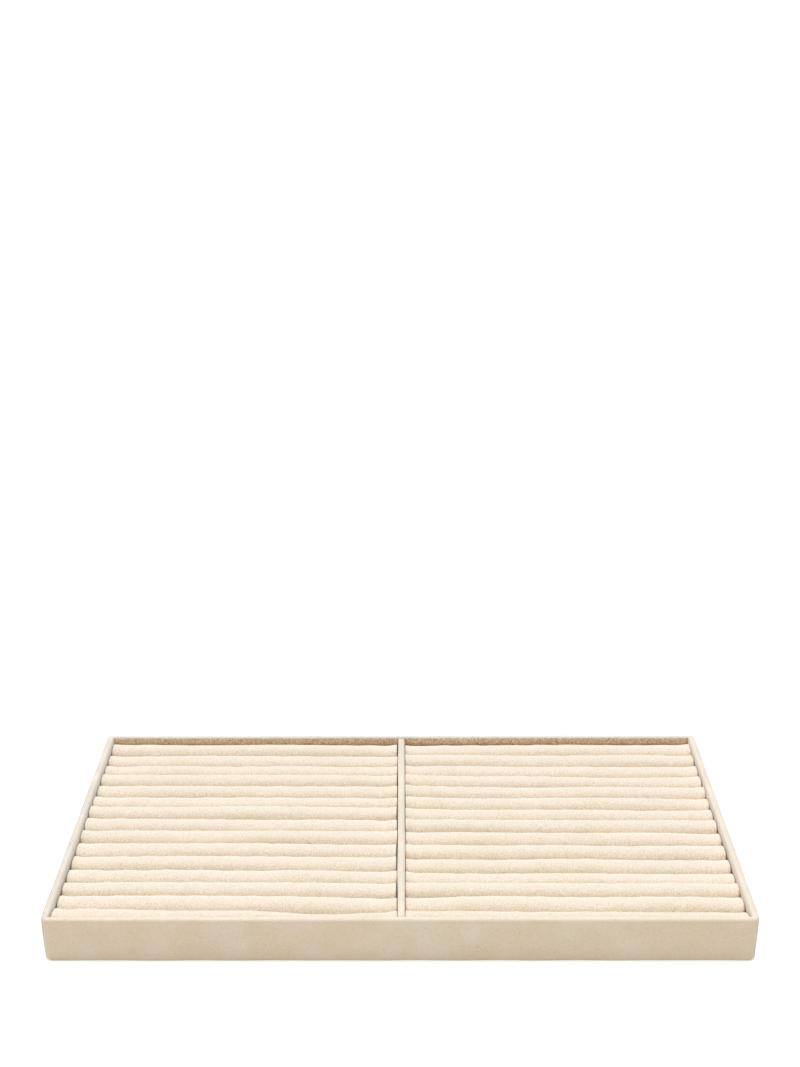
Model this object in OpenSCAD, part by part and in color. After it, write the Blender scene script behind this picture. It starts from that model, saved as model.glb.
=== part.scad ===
// Ring tray insert: a shallow open tray of cloth-covered board, split front to back by one divider,
// with a bank of padded rolls lying across each half. Rings stand in the slots between the rolls.
// Millimetres. X runs along the width, Y from the front to the back, Z up. The origin is on the
// table, under the middle of the tray. The depth follows from the number and width of the rolls.

/* [Tray] */
// Width of the tray over its side walls
tray_w = 400; // [250:1:600]
// Height of the walls
tray_h = 27.5; // [24:0.5:45]
// Thickness of a wall, the board with its cover on both faces
wall_t = 4.6; // [3:0.1:8]
// Thickness of the base panel between the walls
base_t = 4; // [2:0.1:6]
// Radius of the tray's inside corners
inner_corner_r = 0.6; // [0.2:0.1:3]
// Radius at which the cover folds over the top edges of the walls and the divider
rim_r = 1; // [0.4:0.1:1.4]
// Radius at which the cover folds under the outside of the walls
hem_r = 2.3; // [0.5:0.1:2.8]

/* [Divider] */
// Thickness of the divider between the two banks of rolls
divider_t = 4.6; // [3:0.1:8]
// Depth of the divider's top edge below the rim
divider_drop = 1; // [0:0.1:3]

/* [Ring rolls] */
// Number of rolls in each bank
rolls_per_side = 15; // [6:1:24]
// Width of one roll
roll_w = 14.4; // [10:0.1:18]
// Height by which the middle of a roll's crown stands above its sides
dome_h = 1.4; // [0.4:0.1:3]
// Radius at which a roll's crown turns down into its flanks
shoulder_r = 3.6; // [2:0.1:6]
// Depth of the rolls' crowns below the rim
crown_drop = 3.4; // [0:0.1:6]
// Slit between two rolls, and between the outer rolls and the walls
roll_gap = 0.3; // [0.1:0.05:1]
// Clearance between a roll's end and the wall or the divider
end_gap = 1.1; // [0.4:0.1:3]
// Radius of the edges on which a roll stands
foot_r = 3; // [1:0.1:4]
// Radius at which the cover is folded over a roll's ends
end_r = 1.2; // [0.5:0.1:3]

/* [Hidden] */
// Room between the walls, and the outside depth that it gives
inner_w = tray_w - 2 * wall_t;
inner_d = rolls_per_side * roll_w + (rolls_per_side + 1) * roll_gap;
tray_d = inner_d + 2 * wall_t;
// Radius of the tray's outside corners, round the same centres as the inside ones
corner_r = inner_corner_r + wall_t;
divider_h = tray_h - base_t - divider_drop;
// Each bank of rolls fills one half of the room, apart from its clearances
bank_w = (inner_w - divider_t) / 2;
bank_x = (bank_w + divider_t) / 2;
roll_len = bank_w - 2 * end_gap;
roll_h = tray_h - base_t - crown_drop;
roll_pitch = roll_w + roll_gap;
// How far a cutting shape reaches past what it trims
trim = 1;
wall_colour = [0.93, 0.87, 0.78];
base_colour = [0.84, 0.77, 0.67];
roll_colour = [0.97, 0.92, 0.84];
$fn = 64;

SIDES = ["left", "right"];

// Rows are counted from the back of the tray
function roll_name(side, row) = str("ring_roll_", side, "_", row < 10 ? "0" : "", row);
function roll_y(row) = inner_d / 2 - roll_gap - roll_w / 2 - (row - 1) * roll_pitch;
function side_x(side) = side == "left" ? -bank_x : bank_x;

// What rounding takes off a corner at the origin whose sides run along +X and +Y
module corner_waste(r) {
    difference() {
        translate([-trim, -trim]) square(r + trim);
        translate([r, r]) circle(r = r);
    }
}

// Rectangle from the origin with a radius for each corner, anticlockwise from the origin's
module rounded_rect(size, radii) {
    corners = [[0, 0], [size.x, 0], size, [0, size.y]];
    difference() {
        square(size);
        for (i = [0:3])
            if (radii[i] > 0)
                translate(corners[i]) rotate(90 * i) corner_waste(radii[i]);
    }
}

// Upright section of a wall: x runs from the inside face to the outside face
module wall_section() {
    rounded_rect([wall_t, tray_h], [0, hem_r, rim_r, rim_r]);
}

// Half of a rounded tray corner: 45 degrees of turn, from an angle counted from the wall's outside
module corner_half(from) {
    rotate(-90) rotate_extrude(start = from, angle = 45) translate([inner_corner_r, 0]) wall_section();
}

// A wall along X with its outside face at y = 0, mitred at 45 degrees across each rounded corner
module wall(length) {
    straight = length - 2 * corner_r;
    color(wall_colour) union() {
        translate([straight / 2, wall_t, 0]) rotate([90, 0, -90])
            linear_extrude(straight) wall_section();
        translate([straight / 2, corner_r, 0]) corner_half(0);
        translate([-straight / 2, corner_r, 0]) corner_half(-45);
    }
}

module base_panel() {
    color(base_colour) translate([-inner_w / 2, -inner_d / 2, 0]) linear_extrude(base_t)
        rounded_rect([inner_w, inner_d], [for (i = [0:3]) inner_corner_r]);
}

module front_wall() {
    translate([0, -tray_d / 2, 0]) wall(tray_w);
}

module back_wall() {
    rotate(180) translate([0, -tray_d / 2, 0]) wall(tray_w);
}

module left_wall() {
    rotate(-90) translate([0, -tray_w / 2, 0]) wall(tray_d);
}

module right_wall() {
    rotate(90) translate([0, -tray_w / 2, 0]) wall(tray_d);
}

// The divider stands on the base panel and butts against the front and back walls
module divider() {
    color(wall_colour) translate([-divider_t / 2, inner_d / 2, base_t]) rotate([90, 0, 0])
        linear_extrude(inner_d) rounded_rect([divider_t, divider_h], [0, 0, rim_r, rim_r]);
}

// Section of a roll: an arched crown and upright flanks, with rounded shoulders and feet
module roll_section() {
    arch_r = (roll_w * roll_w / 4 + dome_h * dome_h) / (2 * dome_h);
    intersection() {
        translate([0, roll_h - arch_r]) circle(r = arch_r);
        translate([-roll_w / 2, 0])
            rounded_rect([roll_w, roll_h], [foot_r, foot_r, shoulder_r, shoulder_r]);
    }
}

// One padded roll along X on the base panel: its section, trimmed by the outline that the folded
// cover gives it from the front and from above
module ring_roll(side, row) {
    color(roll_colour) translate([side_x(side), roll_y(row), base_t]) intersection() {
        rotate([90, 0, 90]) linear_extrude(roll_len + 2 * trim, center = true) roll_section();
        translate([-roll_len / 2, roll_w / 2 + trim, 0]) rotate([90, 0, 0])
            linear_extrude(roll_w + 2 * trim) rounded_rect([roll_len, roll_h], [0, 0, end_r, end_r]);
        translate([-roll_len / 2, -roll_w / 2, -trim]) linear_extrude(roll_h + 2 * trim)
            rounded_rect([roll_len, roll_w], [for (i = [0:3]) end_r]);
    }
}

base_panel();
front_wall();
back_wall();
left_wall();
right_wall();
divider();
for (side = SIDES)
    for (row = [1:rolls_per_side])
        ring_roll(side, row);
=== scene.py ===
import math
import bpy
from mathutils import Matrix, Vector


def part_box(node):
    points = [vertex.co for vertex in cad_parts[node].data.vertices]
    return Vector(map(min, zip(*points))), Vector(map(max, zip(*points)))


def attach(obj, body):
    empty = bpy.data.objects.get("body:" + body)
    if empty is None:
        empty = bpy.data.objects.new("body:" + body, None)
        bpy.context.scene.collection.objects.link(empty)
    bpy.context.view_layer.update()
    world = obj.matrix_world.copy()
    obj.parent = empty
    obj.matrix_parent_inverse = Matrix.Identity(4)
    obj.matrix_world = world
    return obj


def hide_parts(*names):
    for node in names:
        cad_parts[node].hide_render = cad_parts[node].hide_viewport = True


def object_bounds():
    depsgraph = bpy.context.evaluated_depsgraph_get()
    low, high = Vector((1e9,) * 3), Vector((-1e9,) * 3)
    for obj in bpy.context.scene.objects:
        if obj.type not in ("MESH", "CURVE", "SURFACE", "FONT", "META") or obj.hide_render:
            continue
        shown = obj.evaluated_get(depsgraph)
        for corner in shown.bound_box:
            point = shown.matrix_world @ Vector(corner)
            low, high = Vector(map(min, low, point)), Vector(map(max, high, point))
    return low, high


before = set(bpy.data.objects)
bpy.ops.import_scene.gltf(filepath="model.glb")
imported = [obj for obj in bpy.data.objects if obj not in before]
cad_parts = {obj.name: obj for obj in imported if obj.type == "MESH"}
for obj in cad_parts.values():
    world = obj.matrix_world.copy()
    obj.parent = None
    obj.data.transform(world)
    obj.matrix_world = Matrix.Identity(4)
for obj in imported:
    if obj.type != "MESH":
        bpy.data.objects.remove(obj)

from types import SimpleNamespace

import bpy
import numpy as np
from bpy.props import FloatProperty, FloatVectorProperty, IntProperty, PointerProperty
from mathutils import Matrix

bl_info = {
    "name": "Ring tray insert",
    "version": (1, 0, 0),
    "blender": (4, 5, 0),
    "location": "3D View > Sidebar > Ring Tray",
    "description": "Dresses the boards and padded rolls of a ring tray insert in cream microsuede",
    "category": "Object",
}

MM = 0.001
BODY = "root"
SIDES = ("left", "right")
SEED = 20
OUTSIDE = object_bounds()

# Radius that stands for a sharp edge
SHARP = 0.05 * MM
# Rings along a wall's rounded corner, and rings in the fold at a roll's end
CORNER_RINGS = 9
END_RINGS = 5
# Places along a bank at which the curves of its rolls are worked out, and how far these places reach past
# the rolls' solids
STATIONS = 240
OVERHANG = 5 * MM
# How much of its narrowing at an end, and how much of its lean, a roll also loses in height
FOLD_DROP = 0.8
LEAN_DROP = 0.3
# How much narrower a roll starts on either side, as a part of how much lower it starts, and how far from
# its ends it starts as low and narrow as that
SIDE_SLACK = 0.3
SLACK_REACH = 6 * MM

# The walls: how far each is turned from the front one in degrees, how much painted highlight its rim takes,
# how much painted shade its inner face takes, and which cloth it has
WALLS = {
    "front_wall": (0, 0.25, 1, "board"),
    "right_wall": (90, 0.5, 0.3, "right board"),
    "back_wall": (180, 1, 1, "board"),
    "left_wall": (270, 0.65, 0, "left board"),
}

# How far each roll's crown leans towards the front in millimetres, from the back row to the front one.
# The rolls are stuffed and glued in by hand, so some lie closer together than others.
ROLL_LEANS = {
    "left": (0, 2, 1.5, -1, 0, 0.5, -2.5, -1, -1.5, -0.5, 0, 1, -0.5, -0.5, 0.5),
    "right": (-1, -0.5, 1, 0.5, 0, 0, 0.5, -1.5, 0, 0.5, 2.5, 3, -1.5, -1, 0.5),
}
# How much further some rolls lean near the divider, by their number from the back: by how much, how far
# from the divider that is strongest, and over what distance it fades, in millimetres
END_LEANS = {
    "left": {8: (1.5, 0, 80), 14: (2, 0, 90), 15: (4.4, 40, 50)},
    "right": {1: (1.8, 0, 90), 4: (-3, 0, 50), 5: (-1.5, 0, 40), 6: (-1.5, 0, 40), 7: (-1.2, 0, 40),
              14: (1.5, 0, 90)},
}
# How far the rolls' ends stay off the wall or the divider to their left and to their right, first in the
# back row and then in the front one, and how far these gaps vary from roll to roll, in millimetres
END_GAPS = {"left": ((0.2, 0.3), (0.2, 0.15)), "right": ((0.2, 0.2), (0.15, 0.2))}
END_STRAYS = {"left": (0.4, 0.7), "right": (0.2, 0.4)}
# How much wider than usual the cover is folded over the ends, in the same order and unit
END_FOLDS = {"left": ((0, 0), (1.1, 0)), "right": ((0.2, 0.2), (0.2, 1.5))}
# How much painted shade from the slots the folded ends take, in the back row and in the front one
END_SHADES = (0.96, 0.4)


def linear(code):
    """A hex colour such as #F2E6D4, turned from sRGB to linear light."""
    parts = [int(code[i:i + 2], 16) / 255 for i in (1, 3, 5)]
    return [c / 12.92 if c <= 0.04045 else ((c + 0.055) / 1.055) ** 2.4 for c in parts]


def colour(label, text, code):
    """A colour setting whose default is a hex colour."""
    return FloatVectorProperty(name=label, description=text, subtype="COLOR", size=3, min=0, max=1,
                               default=linear(code))


def length(label, text, millimetres):
    """A length setting, given in millimetres and kept in metres."""
    return FloatProperty(name=label, description=text, default=millimetres * MM, unit="LENGTH", precision=5)


def angle(label, text, degrees):
    """An angle setting, given in degrees."""
    return FloatProperty(name=label, description=text, default=math.radians(degrees), subtype="ANGLE")


def share(label, text, value):
    """A setting without a unit that isn't below zero."""
    return FloatProperty(name=label, description=text, default=value, min=0)


class RINGTRAY_PG_suede(bpy.types.PropertyGroup):
    """Colours and grain of the microsuede."""

    wall_tone: colour("Wall colour", "Microsuede on the front and back walls", "#F1DDC2")
    side_tone: colour("Side colour", "The same on the right wall and the divider, its nap lying another way",
                      "#E9DBC6")
    # Painted cool light on the left wall: its tone is greyer than the other walls'
    left_cool_light_tone: colour("Left wall colour", "The same on the left wall", "#DED4BF")
    # Painted highlight over the rims and their inner edges, where the light falls on them
    rim_highlight_tone: colour("Rim colour", "Nap that stands up on the rims, where the cover is stretched", "#FFFCF7")
    roll_tone: colour("Roll colour", "Microsuede on the rolls", "#F6EAD9")
    # Painted highlight along the back of each crown, where the light from behind falls
    crest_highlight_tone: colour("Crest colour", "Nap that stands up along the back of each crown", "#FFFDF1")
    base_tone: colour("Base colour", "Lining of the base panel", "#D9C7AC")
    # Painted shade on the walls' inner faces, the divider's left face, the front of each crown and the rolls'
    # folded ends
    shade_tone: colour("Inner colour", "Nap that is brushed down, as on the walls' inner faces", "#E3C8AA")
    # Painted shade deep in the slots and in the gaps beside the rolls
    slot_shade_tone: colour("Tucked colour", "Cover that is tucked into the slots", "#825437")
    rosy_tone: colour("Rosy patches", "Nap that lies towards the light", "#F6DFD0")
    golden_tone: colour("Golden patches", "Nap that lies away from the light", "#F2E7CF")
    shade_warmth: FloatVectorProperty(name="Warmth of shade", size=3, default=(0.85, 1.1, 1.35),
                                      description="How strongly dark tufts take red, green and blue away")
    grain: length("Grain", "Width of one tuft of the nap, drawn coarser than real so that it shows", 0.7)
    patch: length("Patch", "Width of a patch of nap that was stroked one way", 16)
    wall_nap: share("Wall nap", "How strongly the tufts show on the walls", 0.34)
    divider_nap: share("Divider nap", "How strongly they show on the divider", 0.4)
    roll_nap: share("Roll nap", "How strongly they show on the rolls", 0.66)
    base_nap: share("Base nap", "How strongly they show on the base panel", 0.27)
    # The tufts show more coarsely where shade is painted
    shaded_nap: share("Brushed nap", "How strongly they show where the nap is brushed down", 2.6)
    cast: share("Cast", "How far single tufts stray in colour", 0.07)
    cloud: share("Cloud", "How much lighter or darker whole patches are", 0.025)
    fleck: share("Fleck", "How much darker a fleck is", 0.1)
    sheen: share("Sheen", "Pale light that the nap scatters at grazing angles", 0.8)
    gloss: share("Gloss", "Specular level of the nap", 0.2)


class RINGTRAY_PG_boards(bpy.types.PropertyGroup):
    """Covered boards: walls and divider."""

    wall_rim: length("Rim radius", "Fold of the cover over the top edges", 1.3)
    bulge: length("Bulge", "How far the outer faces stand out halfway up", 0.15)
    wall_hem: length("Hem radius", "Fold of the cover under the outside", 1.2)
    thin: length("Thinning", "How much thinner a covered wall is than its solid", 0.6)
    divider_off: length("Divider off", "How far the divider stands off the middle, to the right", 0.6)
    divider_turn: length("Divider turn", "How much further to the right its front end stands than its middle",
                         0.22)
    divider_thin: length("Divider thinning", "How much thinner the covered divider is than its solid", 0.2)
    corner_inner: length("Inner corner", "Radius of the tray's inside corners", 0.6)
    mitre_depth: length("Mitre depth", "Depth of the folded seam at each corner", 0.2)
    mitre_width: length("Mitre width", "Width over which a wall's end rounds into the seam", 0.8)
    uneven: length("Unevenness", "How far the cover rises and sinks over the board", 0.12)
    step: length("Mesh step", "Distance between points round a board", 0.7)


class RINGTRAY_PG_rolls(bpy.types.PropertyGroup):
    """Padded rolls and the simulation that fills them."""

    around: IntProperty(name="Points around", description="Mesh points round a roll", default=26, min=12)
    along: IntProperty(name="Points along", description="Mesh points along a roll", default=66, min=20)
    foot: length("Foot radius", "Rounded edges on which a roll stands", 3)
    shoulder: length("Shoulder radius", "Rounded edges on both sides of a crown", 3.6)
    dome: length("Dome", "How far a crown's middle rises above its shoulders", 0.9)
    slit: length("Slit", "Gap between two rolls", 0.25)
    outer: length("Outer reach", "How far the outer rolls reach past their solids to the walls", 0.6)
    end_fold: length("End fold", "Radius at which the cover folds over the crown of an end", 0.2)
    corner_fold: length("Corner fold", "Radius at which the cover folds over the flanks of an end", 0.4)
    wall_droop: length("Wall droop", "How much lower a crown lies at the side wall", 0.7)
    divider_droop: length("Divider droop", "How much lower a crown lies at the divider", 0.5)
    droop_reach: length("Droop reach", "How far from its ends a crown droops", 35)
    front_tip: length("Front tip", "How much higher the front edges of the front rolls stand", 2.0)
    sway: length("Sway", "How far a slot strays from a straight line", 0.3)
    swell: length("Swell", "How much a crown rises and sinks along a roll", 0.2)
    fray: length("Fray", "How far the nap makes a slot and a crown waver", 0.12)
    turn: angle("Turn", "How far the banks lie turned in the tray, clockwise from above", 0.42)
    slack: length("Slack", "How much lower a roll starts before its cover is filled", 0.8)
    cap: length("Cap", "How far the filling may push a point of the cover", 1.1)
    pressure: share("Pressure", "Pressure of the filling", 4.0)
    frames: IntProperty(name="Frames", description="Frames over which the filling settles", default=20, min=2)


class RINGTRAY_PG_stage(bpy.types.PropertyGroup):
    """Floor, lamps and camera."""

    key: share("Key lamp", "Strength of the soft lamp above and behind", 2.12)
    fill: share("Fill lamp", "Strength of the soft lamp in front", 0.54)
    sky: share("Sky", "Strength of the light from all round", 0.34)
    floor_tone: colour("Floor colour", "Pale floor under the tray", "#F0F0F0")
    floor_glow: share("Floor glow", "Light that the camera sees on the floor and nothing else does", 0.4)
    lens: FloatProperty(name="Lens", description="Focal length", default=52.78, unit="CAMERA")
    pitch: angle("Pitch", "How far the camera looks down", 27.55)
    yaw: angle("Yaw", "Turn of the camera to the left", 0.254)
    tilt: angle("Tilt", "Turn of the camera about its own axis", -0.163)
    place: FloatVectorProperty(name="Place", description="Where the camera stands", subtype="TRANSLATION",
                               default=(0.00362, -0.8418, 0.5070))
    shift: share("Shift", "How far the frame is raised, so that the tray sits low in it", 0.21155)


class RINGTRAY_PG_all(bpy.types.PropertyGroup):
    """All settings of the tray."""

    suede: PointerProperty(type=RINGTRAY_PG_suede)
    boards: PointerProperty(type=RINGTRAY_PG_boards)
    rolls: PointerProperty(type=RINGTRAY_PG_rolls)
    stage: PointerProperty(type=RINGTRAY_PG_stage)


def ramp(values, none, full):
    """0 where the values reach one number, 1 where they reach the other, straight between and held beyond."""
    return np.clip((values - none) / (full - none), 0, 1)


def ripple(rng, at, count, shortest, longest):
    """Smooth curves (count x len(at)): each is a sum of four sines with random wavelengths between the
    two lengths and random phases, scaled so that it strays about one unit from zero."""
    waves = rng.uniform(shortest, longest, (count, 4, 1))
    phases = rng.uniform(0, 2 * np.pi, (count, 4, 1))
    return np.sin(2 * np.pi * at[None, None, :] / waves + phases).sum(1) / math.sqrt(2)


def rounded_outline(corners, radii, count):
    """Closed outline of a polygon with rounded corners, as evenly spaced points.

    At each corner an arc touches both sides. It starts r * tan(half the turn) before the corner, and
    its points are found by turning the spoke from the arc's centre to its start.
    The arcs are joined by straight lines, and the whole is resampled at equal arc length."""
    corners = np.array(corners, float)
    before = corners - np.roll(corners, 1, axis=0)
    after = np.roll(corners, -1, axis=0) - corners
    before /= np.linalg.norm(before, axis=1, keepdims=True)
    after /= np.linalg.norm(after, axis=1, keepdims=True)
    turn = np.arctan2(before[:, 0] * after[:, 1] - before[:, 1] * after[:, 0], (before * after).sum(1))
    radii = np.array(radii, float)[:, None]
    start = corners - before * radii * np.abs(np.tan(turn / 2))[:, None]
    inward = np.stack([-before[:, 1], before[:, 0]], 1) * np.sign(turn)[:, None]
    centre = start + inward * radii
    angles = turn[:, None] * np.linspace(0, 1, 17)[None, :]
    spoke = start - centre
    points = np.stack([spoke[:, :1] * np.cos(angles) - spoke[:, 1:] * np.sin(angles),
                       spoke[:, :1] * np.sin(angles) + spoke[:, 1:] * np.cos(angles)], 2)
    loop = (points + centre[:, None, :]).reshape(-1, 2)
    loop = np.vstack([loop, loop[:1]])
    run = np.concatenate([[0], np.cumsum(np.linalg.norm(np.diff(loop, axis=0), axis=1))])
    at = np.linspace(0, run[-1], count, endpoint=False)
    return np.stack([np.interp(at, run, loop[:, 0]), np.interp(at, run, loop[:, 1])], 1)


def tube(rings):
    """Points and faces of a closed tube through rings (n x m x 3) that turn anticlockwise about its run.

    Each pair of neighbouring rings is joined by quads, and each end by a fan to the mean of its ring."""
    count, around = rings.shape[:2]
    points = np.vstack([rings.reshape(-1, 3), rings[0].mean(0), rings[-1].mean(0)])
    ring = np.arange(count - 1)[:, None] * around
    here = np.arange(around)[None, :]
    there = (here + 1) % around
    quads = np.stack([ring + here, ring + there, ring + there + around, ring + here + around], 2)
    first = np.arange(around)
    last = first + (count - 1) * around
    low = np.stack([np.full(around, count * around), np.roll(first, -1), first], 1)
    high = np.stack([np.full(around, count * around + 1), last, np.roll(last, -1)], 1)
    return points, [quads.reshape(-1, 4), low, high]


def with_caps(values, first, last):
    """Values for a tube's points (rings x points round it), then those for the middles of its two ends."""
    return np.append(values.ravel(), [first, last])


def make_object(name, points, faces):
    """A smooth mesh object at the origin, from points (n x 3) and arrays of faces."""
    mesh = bpy.data.meshes.new(name)
    corners = np.concatenate([f.ravel() for f in faces])
    sizes = np.concatenate([np.full(len(f), f.shape[1]) for f in faces])
    mesh.vertices.add(len(points))
    mesh.vertices.foreach_set("co", points.astype(np.float32).ravel())
    mesh.loops.add(len(corners))
    mesh.loops.foreach_set("vertex_index", corners.astype(np.int32))
    mesh.polygons.add(len(sizes))
    mesh.polygons.foreach_set("loop_start", (np.cumsum(sizes) - sizes).astype(np.int32))
    mesh.update(calc_edges=True)
    mesh.shade_smooth()
    obj = bpy.data.objects.new(name, mesh)
    bpy.context.scene.collection.objects.link(obj)
    return obj


def set_attribute(obj, name, values):
    """Keeps one number for each point of the mesh under a name that materials can read."""
    obj.data.attributes.new(name, "FLOAT", "POINT").data.foreach_set("value", values.astype(np.float32))


def add_node(tree, kind, inputs=(), **settings):
    """Adds a node, sets its settings, and fills its inputs by name or number with values or links."""
    node = tree.nodes.new(kind)
    for key, value in settings.items():
        setattr(node, key, value)
    for key, value in dict(inputs).items():
        if isinstance(value, bpy.types.NodeSocket):
            tree.links.new(value, node.inputs[key])
        else:
            node.inputs[key].default_value = value
    return node


def new_material(name):
    """An empty node material and its tree."""
    material = bpy.data.materials.new(name)
    material.use_nodes = True
    material.node_tree.nodes.clear()
    return material, material.node_tree


def blend_colours(tree, amount, first, second):
    """Mixes two colours, or two colour sockets, by an amount from 0 to 1."""
    pick = [(*c, 1) if not isinstance(c, bpy.types.NodeSocket) else c for c in (first, second)]
    node = add_node(tree, "ShaderNodeMix", {0: amount, 6: pick[0], 7: pick[1]}, data_type="RGBA")
    return node.outputs[2]


def ranged(tree, value, low, high, to_low=0.0, to_high=1.0):
    """Maps a value from one range to another and stops at its ends."""
    node = add_node(tree, "ShaderNodeMapRange",
                    {"Value": value, "From Min": low, "From Max": high, "To Min": to_low, "To Max": to_high})
    return node.outputs["Result"]


def combined(tree, operation, *values):
    """Numbers or values taken together by one of the Math node's operations."""
    return add_node(tree, "ShaderNodeMath", dict(enumerate(values)), operation=operation).outputs[0]


def combined_vectors(tree, operation, *values):
    """Vectors or colours taken together by one of the Vector Math node's operations."""
    return add_node(tree, "ShaderNodeVectorMath", dict(enumerate(values)), operation=operation).outputs[0]


def suede(name, look, tone, highlight_tone, nap):
    """Microsuede: a knitted microfibre cloth, sanded to a short nap and glued round board or foam.

    The nap scatters light at grazing angles, so edges look pale, and it takes a rosy or golden cast in
    patches where it was stroked one way or the other. Its tufts show as a faint speckle, with here and
    there a darker fleck, and nap says how strongly. Three attributes paint light into the colour: a painted
    highlight, a painted shade, and a darker painted shade in the slots and gaps."""
    material, tree = new_material(name)
    where = add_node(tree, "ShaderNodeTexCoord").outputs["Object"]
    patches = add_node(tree, "ShaderNodeTexNoise",
                       {"Vector": where, "Scale": 1 / look.patch, "Detail": 3.0, "Roughness": 0.6})
    wider = add_node(tree, "ShaderNodeTexNoise",
                     {"Vector": where, "Scale": 0.45 / look.patch, "Detail": 2.0, "Distortion": 0.6})
    casts = add_node(tree, "ShaderNodeTexNoise",
                     {"Vector": where, "Scale": 0.25 / look.grain, "Detail": 2.0, "Roughness": 0.6})
    tufts = add_node(tree, "ShaderNodeTexNoise",
                     {"Vector": where, "Scale": 1 / look.grain, "Detail": 2.0, "Roughness": 0.7})
    flecks = add_node(tree, "ShaderNodeTexNoise", {"Vector": where, "Scale": 0.5 / look.grain, "Detail": 0.0})
    # Masks of the painted highlight, the painted shade and the painted shade in the slots and gaps
    pale, painted_shade, slot_shade = (add_node(tree, "ShaderNodeAttribute", attribute_name=mark).outputs["Fac"]
                          for mark in ("pale", "painted_shade", "slot_shade"))

    rosy = ranged(tree, patches.outputs["Fac"], 0.5, 0.75, 0.0, 0.7)
    golden = ranged(tree, wider.outputs["Fac"], 0.48, 0.72, 0.0, 0.7)
    body = blend_colours(tree, rosy, tone, look.rosy_tone)
    body = blend_colours(tree, golden, body, look.golden_tone)
    # The painted highlight, painted shade and painted slot shade are mixed into the cloth's colour
    body = blend_colours(tree, pale, body, highlight_tone)
    body = blend_colours(tree, painted_shade, body, look.shade_tone)
    body = blend_colours(tree, slot_shade, body, look.slot_shade_tone)
    stray = look.cast * nap
    cast = combined_vectors(tree, "MULTIPLY_ADD", casts.outputs["Color"], [stray] * 3, [1 - stray / 2] * 3)
    body = combined_vectors(tree, "MULTIPLY", body, cast)

    # The tufts' noise has a mean of 0.53, so this brightness stays near 1 on the whole
    strength = ranged(tree, painted_shade, 0.0, 1.0, nap, look.shaded_nap)
    cloudy = ranged(tree, patches.outputs["Fac"], 0.3, 0.7, 1 - look.cloud, 1 + look.cloud)
    speckle = combined(tree, "MULTIPLY", tufts.outputs["Fac"], strength)
    speckle = combined(tree, "ADD", speckle, cloudy)
    speckle = combined(tree, "SUBTRACT", speckle, combined(tree, "MULTIPLY", strength, 0.53))
    flecked = ranged(tree, flecks.outputs["Fac"], 0.7, 0.8, 1.0, 1 - look.fleck)
    speckle = combined(tree, "MULTIPLY", speckle, flecked)
    darker = combined(tree, "SUBTRACT", speckle, 1.0)
    shade = combined_vectors(tree, "MULTIPLY_ADD", darker, look.shade_warmth, [1.0] * 3)
    toned = combined_vectors(tree, "MULTIPLY", body, shade)

    # Sheen and gloss fade where slot shade is painted, so that the painted shade in the slots and gaps stays
    # dark
    bump = add_node(tree, "ShaderNodeBump",
                    {"Height": tufts.outputs["Fac"], "Strength": 0.5, "Distance": 0.15 * MM})
    shader = add_node(tree, "ShaderNodeBsdfPrincipled", {
        "Base Color": toned, "Roughness": 0.95, "IOR": 1.45,
        "Specular IOR Level": ranged(tree, slot_shade, 0.0, 1.0, look.gloss, 0.0),
        "Sheen Weight": ranged(tree, slot_shade, 0.0, 1.0, look.sheen, 0.0),
        "Sheen Roughness": 0.4, "Normal": bump.outputs["Normal"]})
    add_node(tree, "ShaderNodeOutputMaterial", {"Surface": shader.outputs["BSDF"]})
    return material


def cover(obj, material, slot, *nodes):
    """Gives a finished piece its material and its body, and hides the CAD nodes that it stands for. The slot
    is not used.
    """
    obj.data.materials.clear()
    obj.data.materials.append(material)
    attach(obj, BODY)
    if nodes:
        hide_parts(*nodes)


def board(path, normals, outline, look, rng, mitred):
    """Rings of a covered board: an outline (m x 2, outward and up) carried along a path.

    A ring's point is the path's point plus the outline's first number along the normal there and its
    second one upwards. The cover rises and sinks by a slow ripple along the run and round the ring.
    Towards a mitred end the outline shrinks by an inset that follows a quarter circle."""
    run = np.concatenate([[0], np.cumsum(np.linalg.norm(np.diff(path, axis=0), axis=1))])
    to_end = np.minimum(run, run[-1] - run)
    fold = ramp(to_end, look.mitre_width, 0) if mitred else np.zeros(len(run))
    inset = look.mitre_depth * (1 - np.sqrt(np.clip(1 - fold ** 2, 0, 1)))
    size = outline.max(0) - outline.min(0)
    middle = (outline.max(0) + outline.min(0)) / 2
    tangent = np.roll(outline, -1, axis=0) - np.roll(outline, 1, axis=0)
    tangent /= np.linalg.norm(tangent, axis=1, keepdims=True)
    outwards = np.stack([-tangent[:, 1], tangent[:, 0]], 1)
    slow = ripple(rng, run, 3, shortest=35 * MM, longest=110 * MM)
    turn = np.linspace(0, 2 * np.pi, len(outline), endpoint=False)
    rise = slow[0][:, None] * np.cos(turn) + slow[1][:, None] * np.sin(2 * turn) + slow[2][:, None] * 0.4
    rise = rise * look.uneven * 0.5
    kept = 1 - 2 * inset[:, None, None] / size
    section = middle + (outline - middle) * kept + outwards * rise[:, :, None]
    rings = np.empty((len(run), len(outline), 3))
    rings[:, :, :2] = path[:, None, :] + normals[:, None, :] * section[:, :, :1]
    rings[:, :, 2] = np.maximum(section[:, :, 1], outline[:, 1].min())
    return rings


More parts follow.
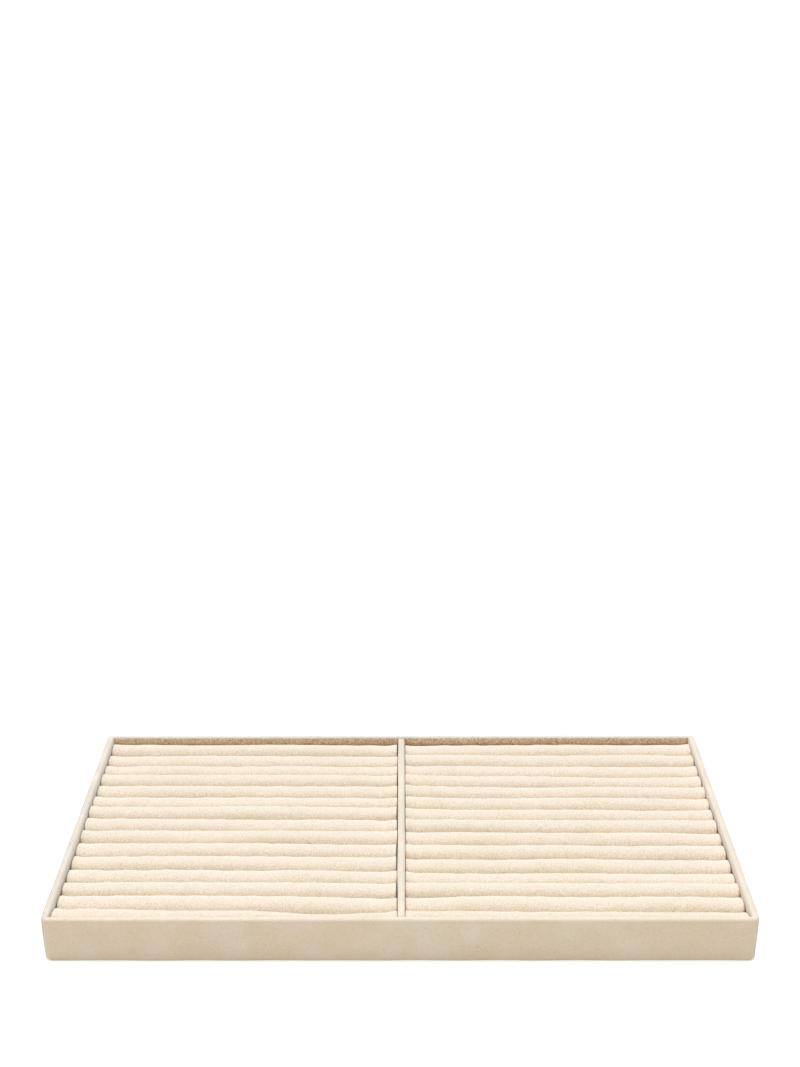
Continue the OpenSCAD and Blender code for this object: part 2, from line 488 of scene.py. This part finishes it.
class RINGTRAY_OT_walls(bpy.types.Operator):
    """Builds the four mitred walls that frame the tray."""

    bl_idname = "ring_tray.walls"
    bl_label = "Walls"

    def execute(self, context):
        look = context.scene.ring_tray
        shape = look.boards
        high = OUTSIDE[1]
        thick = high.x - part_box("base_panel")[1].x - shape.thin
        radius = shape.corner_inner + thick
        tall = high.z
        outline = rounded_outline([(0, 0), (0, tall), (thick, tall), (thick, 0)],
                                  [SHARP, shape.wall_rim, shape.wall_rim, shape.wall_hem],
                                  int(2 * (thick + tall) / shape.step))
        stand_out = np.sin(np.pi * outline[:, 1] / tall) * ramp(outline[:, 0], 0, thick) ** 2
        outline[:, 0] += shape.bulge * stand_out
        cloths = self.cloths(look.suede)
        rng = np.random.default_rng(SEED)
        for name, (turn, highlighted, shaded, cloth) in WALLS.items():
            across_tray = turn in (0, 180)
            reach = (high.x, high.y) if across_tray else (high.y, high.x)
            path, normals = self.run(reach, radius, shape.corner_inner, turn)
            rings = board(path, normals, outline, shape, rng, True)
            obj = make_object(name + "_cover", *tube(rings))
            self.mark_nap(obj, len(path), outline, thick, tall, across_tray, highlighted, shaded)
            cover(obj, cloths[cloth], "wall_cover", name)
        return {"FINISHED"}

    def cloths(self, look):
        """The walls' materials. The nap lies another way on the right wall, so it has a tone of its own,
        and the left wall's greyer tone is a painted cool light on that side.
        """
        tones = {"board": look.wall_tone, "right board": look.side_tone, "left board": look.left_cool_light_tone}
        return {board_name: suede(f"microsuede on {board_name}", look, tone, look.rim_highlight_tone, look.wall_nap)
                for board_name, tone in tones.items()}

    def run(self, reach, radius, inner, turn):
        """Path of a wall's inner face and its outward normals (rings x 2), turned about the tray's middle.

        The path is a straight line between two eighths of a circle round the corners' centres."""
        straight = reach[0] - radius
        bend = np.radians(np.linspace(-45, 0, CORNER_RINGS))
        first = np.stack([np.sin(bend), -np.cos(bend)], 1)
        along = np.linspace(-straight, straight, int(straight / MM) + 1)[1:-1]
        normals = np.vstack([first, np.tile([0, -1], (len(along), 1)), first[::-1] * [-1, 1]])
        centres = np.concatenate([np.full(CORNER_RINGS, -straight), along, np.full(CORNER_RINGS, straight)])
        path = np.stack([centres, np.full(len(centres), -(reach[1] - radius))], 1) + normals * inner
        c, s = np.cos(np.radians(turn)), np.sin(np.radians(turn))
        spin = np.array([[c, s], [-s, c]])
        return path @ spin, normals @ spin

    def mark_nap(self, obj, count, outline, thick, tall, across_tray, highlighted, shaded):
        """Marks painted light by depth behind the inner face and by millimetres below the rim: a painted
        highlight over the rim, painted shade on the inner face below it, and darker painted shade beside the
        rolls.

        The painted highlight fades within 3 mm outside and 8 mm inside, and on the side walls also outwards."""
        depth = with_caps(np.tile(outline[:, 0], count), thick / 2, thick / 2)
        below = (tall - with_caps(np.tile(outline[:, 1], count), 0, 0)) / MM
        inside = ramp(depth, 0.8 * MM, 0)
        across = 1 if across_tray else 0.3 + 0.7 * ramp(depth, 2.5 * MM, 0)
        fade = ramp(below, 3 + 5 * inside, 0) ** (2 - inside)
        set_attribute(obj, "pale", highlighted * across * fade)
        set_attribute(obj, "painted_shade", shaded * inside * ramp(below, 1.2, 1.8))
        set_attribute(obj, "slot_shade", inside * ramp(below, 5, 9))


def divider_middle(y, boards):
    """Where the middle of the divider stands along X at some Y: it is glued in slightly turned."""
    return boards.divider_off - boards.divider_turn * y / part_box("divider")[1].y


class RINGTRAY_OT_divider(bpy.types.Operator):
    """Builds the covered divider that stands between the two banks of rolls."""

    bl_idname = "ring_tray.divider"
    bl_label = "Divider"

    def execute(self, context):
        look = context.scene.ring_tray
        shape = look.boards
        low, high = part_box("divider")
        thick, tall = high.x - low.x - shape.divider_thin, high.z - low.z
        corners = [(-thick / 2, 0), (-thick / 2, tall), (thick / 2, tall), (thick / 2, 0)]
        outline = rounded_outline(corners, [SHARP, shape.wall_rim, shape.wall_rim, SHARP],
                                  int(2 * (thick + tall) / shape.step))
        along = np.arange(low.y, high.y, 2 * MM)
        path = np.stack([np.zeros(len(along)), along], 1)
        path[-1, 1] = high.y
        normals = np.tile([1.0, 0.0], (len(path), 1))
        rings = board(path, normals, outline, shape, np.random.default_rng(SEED + 1), False)
        rings[:, :, 0] += divider_middle(along, shape)[:, None]
        rings[:, :, 2] += low.z
        obj = make_object("divider_cover", *tube(rings))
        # Painted highlight along the top edge, and painted shade, then darker painted shade further down,
        # mostly on the left face
        below = (tall - with_caps(np.tile(outline[:, 1], len(path)), 0, 0)) / MM
        on_left = with_caps(np.tile(outline[:, 0] < 0, len(path)), 0, 0)
        set_attribute(obj, "pale", 0.2 * ramp(below, 3, 0) ** 2)
        set_attribute(obj, "painted_shade", 0.6 * ramp(below, 0.5, 1.3) * on_left)
        set_attribute(obj, "slot_shade", ramp(below, 1.8, 3.8) * (0.1 + 0.9 * on_left))
        cloth = look.suede
        material = suede("microsuede on divider", cloth, cloth.side_tone, cloth.rim_highlight_tone, cloth.divider_nap)
        cover(obj, material, "wall_cover", "divider")
        return {"FINISHED"}


class RINGTRAY_OT_base(bpy.types.Operator):
    """Lines the base panel."""

    bl_idname = "ring_tray.base"
    bl_label = "Base panel"

    def execute(self, context):
        look = context.scene.ring_tray.suede
        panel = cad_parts["base_panel"]
        lining = suede("microsuede lining", look, look.base_tone, look.base_tone, look.base_nap)
        panel.data.materials.clear()
        panel.data.materials.append(lining)
        return {"FINISHED"}


def bank_rolls(side):
    """Names of one bank's CAD rolls from the back to the front, and their boxes (rolls x 2 x 3)."""
    names = sorted(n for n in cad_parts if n.startswith(f"ring_roll_{side}_"))
    return names, np.array([[list(c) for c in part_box(n)] for n in names])


def by_row(pairs, count):
    """Two pairs of millimetres, for the back row and the front one, spread evenly over all rows."""
    return np.linspace(*np.array(pairs, float), count) * MM


def bank_room(side, boards, rows):
    """The lowest and highest X of each roll (rolls x 2) between the side wall and the divider, from the
    middles of their rows along Y. The gaps change evenly from the back row to the front one."""
    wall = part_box("base_panel")[1].x + boards.thin
    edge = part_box("divider")[1].x - boards.divider_thin / 2
    middle = divider_middle(rows, boards)
    ends = (0 * rows - wall, middle - edge) if side == "left" else (middle + edge, 0 * rows + wall)
    return np.stack(ends, 1) + by_row(END_GAPS[side], len(rows)) * [1, -1]


def crown_leans(side, at, divider_end):
    """How far the crowns lean towards the front (rolls x stations): each roll's own lean, and near the
    divider a further one that fades by 3n^2 - 2n^3, where n falls evenly from 1 to 0."""
    own = np.array(ROLL_LEANS[side], float)[:, None]
    extra = np.array([END_LEANS[side].get(row + 1, (0, 0, 1)) for row in range(len(own))])[:, :, None]
    away = np.abs(at - divider_end) / MM
    near = ramp(np.abs(away - extra[:, 1]), extra[:, 2], 0)
    return (own + extra[:, 0] * near * near * (3 - 2 * near)) * MM


def slot_lines(boxes, leans, at, shape, rng):
    """Where the slots run (rolls + 1 x stations): halfway between two rolls' boxes, moved by half of the
    neighbours' mean lean (rolls x stations), turned with the bank, and swaying and wavering along it.
    The first and last stay at the walls."""
    edges = np.concatenate([boxes[:1, 1, 1] + shape.outer, (boxes[:-1, 0, 1] + boxes[1:, 1, 1]) / 2,
                            boxes[-1:, 0, 1] - shape.outer])
    lean = np.zeros((len(edges), len(at)))
    lean[1:-1] = -(leans[:-1] + leans[1:]) / 4
    sway = ripple(rng, at, len(edges), 90 * MM, 260 * MM) * shape.sway - np.tan(shape.turn) * at
    sway += ripple(rng, at, len(edges), 9 * MM, 25 * MM) * shape.fray
    sway[[0, -1]] = 0
    return edges[:, None] + lean + sway


def roll_section(shape, half, tall):
    """Section of a roll (points x 2), with its half width and its height taken as 1: an upright
    rectangle with rounded corners, whose upper half is raised by a parabola to a crown."""
    flat = tall - shape.dome
    section = rounded_outline([(-half, 0), (half, 0), (half, flat), (-half, flat)],
                              [shape.foot, shape.foot, shape.shoulder, shape.shoulder], shape.around)
    arch = 1 - (section[:, 0] / half) ** 2
    section[:, 1] += shape.dome * arch * ramp(section[:, 1], 0, flat / 2)
    return section / [half, tall]


def lay_out(side, look, rng):
    """What the rolls of one bank are made from: names, section, slots, leans, crests and ends.

    The front roll stands at the wall, so its ends don't stray, and its front edge is tipped up."""
    shape = look.rolls
    names, boxes = bank_rolls(side)
    low, high = boxes[0]
    tall = high[2] - low[2]
    middles = boxes[:, :, 1].mean(1)
    room = bank_room(side, look.boards, middles)
    at = np.linspace(low[0] - OVERHANG, high[0] + OVERHANG, STATIONS)
    leans = crown_leans(side, at, min(room[0], key=abs))
    slots = slot_lines(boxes, leans, at, shape, rng)
    strays = rng.uniform(0, 1, (len(names), 2)) * np.array(END_STRAYS[side]) * MM
    strays[-1] = 0
    crest = ripple(rng, at, len(names), 70 * MM, 200 * MM) * shape.swell
    crest += ripple(rng, at, len(names), 9 * MM, 25 * MM) * shape.fray
    tips = np.zeros(len(names))
    tips[-1] = shape.front_tip
    droops = (shape.wall_droop, shape.divider_droop)
    return SimpleNamespace(names=names, floor=low[2], tall=tall, middles=middles, room=room, at=at,
                           section=roll_section(shape, (high[1] - low[1]) / 2, tall), leans=leans,
                           slots=slots, strays=strays, crest=crest, tips=tips,
                           droops=droops if side == "left" else droops[::-1],
                           folds=by_row(END_FOLDS[side], len(names)),
                           shades=np.linspace(*END_SHADES, len(names)))


def roll_rings(bank, row, shape):
    """Rings of one roll (n x m x 3), and the lowest and highest Y and X for each point of its tube.

    At each ring the section is stretched between the slot lines on both sides, raised to the crown's
    height there, and leant by the square of the height. The crown droops towards its ends by the square
    of the nearness. Only the upper part of an end stays back by its stray. Along the fold at an end the
    section shrinks by a quarter circle's inset. The roll starts a little low and narrow, which leaves
    the filling room to swell."""
    across, up = bank.section.T
    upper = ramp(up, 0.6, 14 / 15)
    start = bank.room[row, 0] + bank.strays[row, 0] * upper
    stop = bank.room[row, 1] - bank.strays[row, 1] * upper
    fold = shape.end_fold + (shape.corner_fold - shape.end_fold) * np.abs(across) ** 3
    left, right = fold + bank.folds[row, 0], fold + bank.folds[row, 1]
    turn = np.linspace(np.pi / 2, 0, END_RINGS)[:, None]
    bend = 1 - np.cos(turn)
    first = start + left * (1 - np.sin(turn))
    last = (stop - right * (1 - np.sin(turn)))[::-1]
    between = np.linspace(0, 1, shape.along + 2)[1:-1, None]
    x = np.vstack([first, first[-1] + (last[0] - first[-1]) * between, last])
    inset = np.vstack([left * bend, np.zeros((shape.along, len(fold))), right * bend[::-1]])

    back = np.interp(x, bank.at, bank.slots[row]) - shape.slit / 2
    front = np.interp(x, bank.at, bank.slots[row + 1]) + shape.slit / 2
    lean = np.interp(x, bank.at, bank.leans[row])
    droop = sum(depth * ramp(way, shape.droop_reach, 0) ** 2
                for depth, way in zip(bank.droops, (x - start, stop - x)))
    crown = bank.tall - LEAN_DROP * lean + np.interp(x, bank.at, bank.crest[row]) - droop
    slack = shape.slack * ramp(np.minimum(x - start, stop - x), 0, SLACK_REACH)
    centre = (back + front) / 2
    width = (back - front) / 2 - inset - slack * SIDE_SLACK
    crest_line = bank.middles[row] - lean / 2 - np.tan(shape.turn) * x
    rise = crown - inset * FOLD_DROP - slack + bank.tips[row] * (1 - across) / 2

    rings = np.empty((*x.shape, 3))
    rings[:, :, 0] = x
    rings[:, :, 1] = centre + width * across + (crest_line - centre) * up ** 2
    rings[:, :, 2] = bank.floor + rise * up
    lane = np.stack([with_caps(front, front[0, 0], front[-1, 0]), with_caps(back, back[0, 0], back[-1, 0]),
                     with_caps(start + 0 * x, start.min(), start.min()),
                     with_caps(stop + 0 * x, stop.max(), stop.max())], 1)
    return rings, lane


def filled(obj, pinned, shape):
    """Fills covers by a cloth simulation: pressure from inside, no gravity, the tucked points pinned.
    Returns where its points end, none of them further from its start than the cap."""
    scene = bpy.context.scene
    mesh = obj.data
    start = np.empty(len(mesh.vertices) * 3, np.float32)
    mesh.vertices.foreach_get("co", start)
    group = obj.vertex_groups.new(name="tucked")
    group.add([int(i) for i in np.flatnonzero(pinned)], 1.0, "REPLACE")
    cloth = obj.modifiers.new("filling", "CLOTH")
    cloth.settings.quality = 3
    cloth.settings.vertex_group_mass = group.name
    cloth.settings.use_pressure = True
    cloth.settings.uniform_pressure_force = shape.pressure
    cloth.settings.effector_weights.gravity = 0
    cloth.collision_settings.use_collision = False
    cloth.point_cache.frame_start = 1
    cloth.point_cache.frame_end = shape.frames
    for moment in range(1, shape.frames + 1):
        scene.frame_set(moment)
    settled = obj.evaluated_get(bpy.context.evaluated_depsgraph_get()).data
    end = np.empty_like(start)
    settled.vertices.foreach_get("co", end)
    scene.frame_set(1)
    obj.modifiers.remove(cloth)
    start, end = start.reshape(-1, 3), end.reshape(-1, 3)
    move = end - start
    far = np.linalg.norm(move, axis=1, keepdims=True)
    return start + move * np.minimum(1, shape.cap / np.maximum(far, 1e-9))


class RINGTRAY_OT_rolls(bpy.types.Operator):
    """Builds and fills the padded rolls of both banks."""

    bl_idname = "ring_tray.rolls"
    bl_label = "Padded rolls"

    def execute(self, context):
        look = context.scene.ring_tray
        cloth = look.suede
        material = suede("microsuede on foam", cloth, cloth.roll_tone, cloth.crest_highlight_tone, cloth.roll_nap)
        for number, side in enumerate(SIDES):
            bank = lay_out(side, look, np.random.default_rng(SEED + 10 + number))
            rolls, faces = self.fill_bank(bank, side, look.rolls)
            for row, (name, points) in enumerate(zip(bank.names, rolls)):
                obj = make_object(name.replace("ring_roll", "padded_roll"), points, faces)
                self.mark_nap(obj, points, bank, row)
                smooth = obj.modifiers.new("smooth", "SUBSURF")
                smooth.levels = smooth.render_levels = 1
                cover(obj, material, "roll_cover", name)
        return {"FINISHED"}

    def fill_bank(self, bank, side, shape):
        """Fills a bank's rolls as one mesh and keeps each between its slots, its ends and the floor.
        Returns the rolls' points (rolls x n x 3) and the faces that each of them has.

        The ends and the lower part of the flanks, which are glued in, stay where they are."""
        made = [roll_rings(bank, row, shape) for row in range(len(bank.names))]
        tubes = [tube(rings) for rings, _ in made]
        points = np.vstack([own for own, _ in tubes])
        faces = tubes[0][1]
        size = len(tubes[0][0])
        joined = [np.vstack([part + size * row for row in range(len(made))]) for part in faces]
        at_end = np.ones(made[0][0].shape[:2], bool)
        at_end[END_RINGS - 1:1 - END_RINGS] = False
        glued = points[:, 2] < bank.floor + 0.3 * bank.tall
        whole = make_object(f"{side}_bank", points, joined)
        settled = filled(whole, glued | np.tile(with_caps(at_end, True, True), len(made)), shape)
        bpy.data.objects.remove(whole)
        settled = settled.astype(float)
        front, back, start, stop = np.vstack([lane for _, lane in made]).T
        settled[:, 0] = np.clip(settled[:, 0], start, stop)
        settled[:, 1] = np.clip(settled[:, 1], front, back)
        settled[:, 2] = np.maximum(settled[:, 2], bank.floor)
        return settled.reshape(len(made), size, 3), faces

    def mark_nap(self, obj, points, bank, row):
        """Marks painted light by place in the section and by height: a painted highlight along the back of
        the crown, painted shade on its front, and darker painted shade low in the slots and at the flanks of
        the folded ends."""
        across, up = bank.section.T
        rings = len(points) // len(across)
        folded = np.zeros((rings, 1))
        folded[:END_RINGS] = np.linspace(1, 0, END_RINGS)[:, None]
        folded[-END_RINGS:] = folded[:END_RINGS][::-1]
        # Painted shade at the flanks of the folded ends and low in the slots, a painted highlight along the
        # back of each crown and painted shade on its front
        ends = with_caps(folded * ramp(up, 1.02, 0.72), 1, 1) * bank.shades[row]
        tucked = ramp(points[:, 2], bank.floor + 0.68 * bank.tall, bank.floor + 0.38 * bank.tall)
        crest = ramp(across, 0.1, 0.55) * ramp(up, 0.7, 0.9)
        shaded = 0.3 * ramp(across, 0.05, -1) ** 1.4
        set_attribute(obj, "slot_shade", np.maximum(tucked, ends))
        set_attribute(obj, "pale", with_caps(np.tile(crest, rings), 0, 0))
        set_attribute(obj, "painted_shade", np.maximum(with_caps(np.tile(shaded, rings), 0, 0), ends))


class RINGTRAY_OT_stage(bpy.types.Operator):
    """Sets the camera, the lamps and the floor."""

    bl_idname = "ring_tray.stage"
    bl_label = "Stage"

    def execute(self, context):
        look = context.scene.ring_tray.stage
        scene = context.scene
        self.camera(scene, look)
        self.lamp(scene, "key", look.key, height=73, azimuth=192, spread=55)
        self.lamp(scene, "fill", look.fill, height=50, azimuth=-20, spread=80)
        self.floor(look)
        self.sky(scene, look)
        scene.view_settings.view_transform = "Standard"
        return {"FINISHED"}

    def camera(self, scene, look):
        """A camera at the photograph's height and distance, with its frame raised."""
        data = bpy.data.cameras.new("camera")
        data.lens = look.lens
        data.shift_y = look.shift
        data.clip_end = 50
        camera = bpy.data.objects.new("camera", data)
        aim = (Matrix.Rotation(look.yaw, 4, "Z") @ Matrix.Rotation(math.pi / 2 - look.pitch, 4, "X")
               @ Matrix.Rotation(look.tilt, 4, "Z"))
        camera.matrix_world = Matrix.Translation(look.place) @ aim
        scene.collection.objects.link(camera)
        scene.camera = camera

    def lamp(self, scene, name, strength, height, azimuth, spread):
        """A soft far lamp. Its height and azimuth in degrees say where it stands, 0 in front and 90 to
        the right, and its spread how wide it looks from the tray."""
        data = bpy.data.lights.new(name, "SUN")
        data.energy = strength
        data.angle = math.radians(spread)
        lamp = bpy.data.objects.new(name, data)
        lamp.matrix_world = (Matrix.Rotation(math.radians(azimuth), 4, "Z")
                             @ Matrix.Rotation(math.radians(90 - height), 4, "X"))
        scene.collection.objects.link(lamp)

    def floor(self, look):
        """A wide pale floor that shows as white to the camera and keeps the tray's soft shadow."""
        reach = 30
        points = np.array([(-reach, -reach, 0), (reach, -reach, 0), (reach, reach, 0), (-reach, reach, 0)])
        obj = make_object("floor", points, [np.array([[0, 1, 2, 3]])])
        material, tree = new_material("painted floor")
        matt = add_node(tree, "ShaderNodeBsdfDiffuse", {"Color": (*look.floor_tone, 1)})
        seen = add_node(tree, "ShaderNodeLightPath").outputs["Is Camera Ray"]
        strength = combined(tree, "MULTIPLY", seen, look.floor_glow)
        glow = add_node(tree, "ShaderNodeEmission", {"Strength": strength})
        both = add_node(tree, "ShaderNodeAddShader", {0: matt.outputs[0], 1: glow.outputs[0]})
        add_node(tree, "ShaderNodeOutputMaterial", {"Surface": both.outputs[0]})
        obj.data.materials.append(material)

    def sky(self, scene, look):
        """Plain light from all round, which the camera and gloss see as white."""
        world = bpy.data.worlds.new("studio")
        world.use_nodes = True
        tree = world.node_tree
        tree.nodes.clear()
        ray = add_node(tree, "ShaderNodeLightPath")
        seen = combined(tree, "MAXIMUM", ray.outputs["Is Camera Ray"], ray.outputs["Is Glossy Ray"])
        strength = ranged(tree, seen, 0.0, 1.0, look.sky, 1.0)
        light = add_node(tree, "ShaderNodeBackground", {"Color": (1, 1, 1, 1), "Strength": strength})
        add_node(tree, "ShaderNodeOutputWorld", {"Surface": light.outputs[0]})
        scene.world = world


class RINGTRAY_PT_panel(bpy.types.Panel):
    """Lists the steps that build the tray."""

    bl_label = "Ring Tray"
    bl_idname = "RINGTRAY_PT_panel"
    bl_space_type = "VIEW_3D"
    bl_region_type = "UI"
    bl_category = "Ring Tray"

    def draw(self, context):
        for step in STEPS:
            self.layout.operator(step.bl_idname)


STEPS = (RINGTRAY_OT_stage, RINGTRAY_OT_walls, RINGTRAY_OT_divider, RINGTRAY_OT_base, RINGTRAY_OT_rolls)
CLASSES = (RINGTRAY_PG_suede, RINGTRAY_PG_boards, RINGTRAY_PG_rolls, RINGTRAY_PG_stage, RINGTRAY_PG_all,
           *STEPS, RINGTRAY_PT_panel)


def register():
    """Makes the settings, the steps and the panel known to Blender."""
    for item in CLASSES:
        bpy.utils.register_class(item)
    bpy.types.Scene.ring_tray = PointerProperty(type=RINGTRAY_PG_all)


def unregister():
    """Takes them away again."""
    del bpy.types.Scene.ring_tray
    for item in reversed(CLASSES):
        bpy.utils.unregister_class(item)


def main():
    """Builds everything around the frame."""
    register()
    for step in STEPS:
        group, action = step.bl_idname.split(".")
        getattr(getattr(bpy.ops, group), action)()


if __name__ == "__main__":
    main()
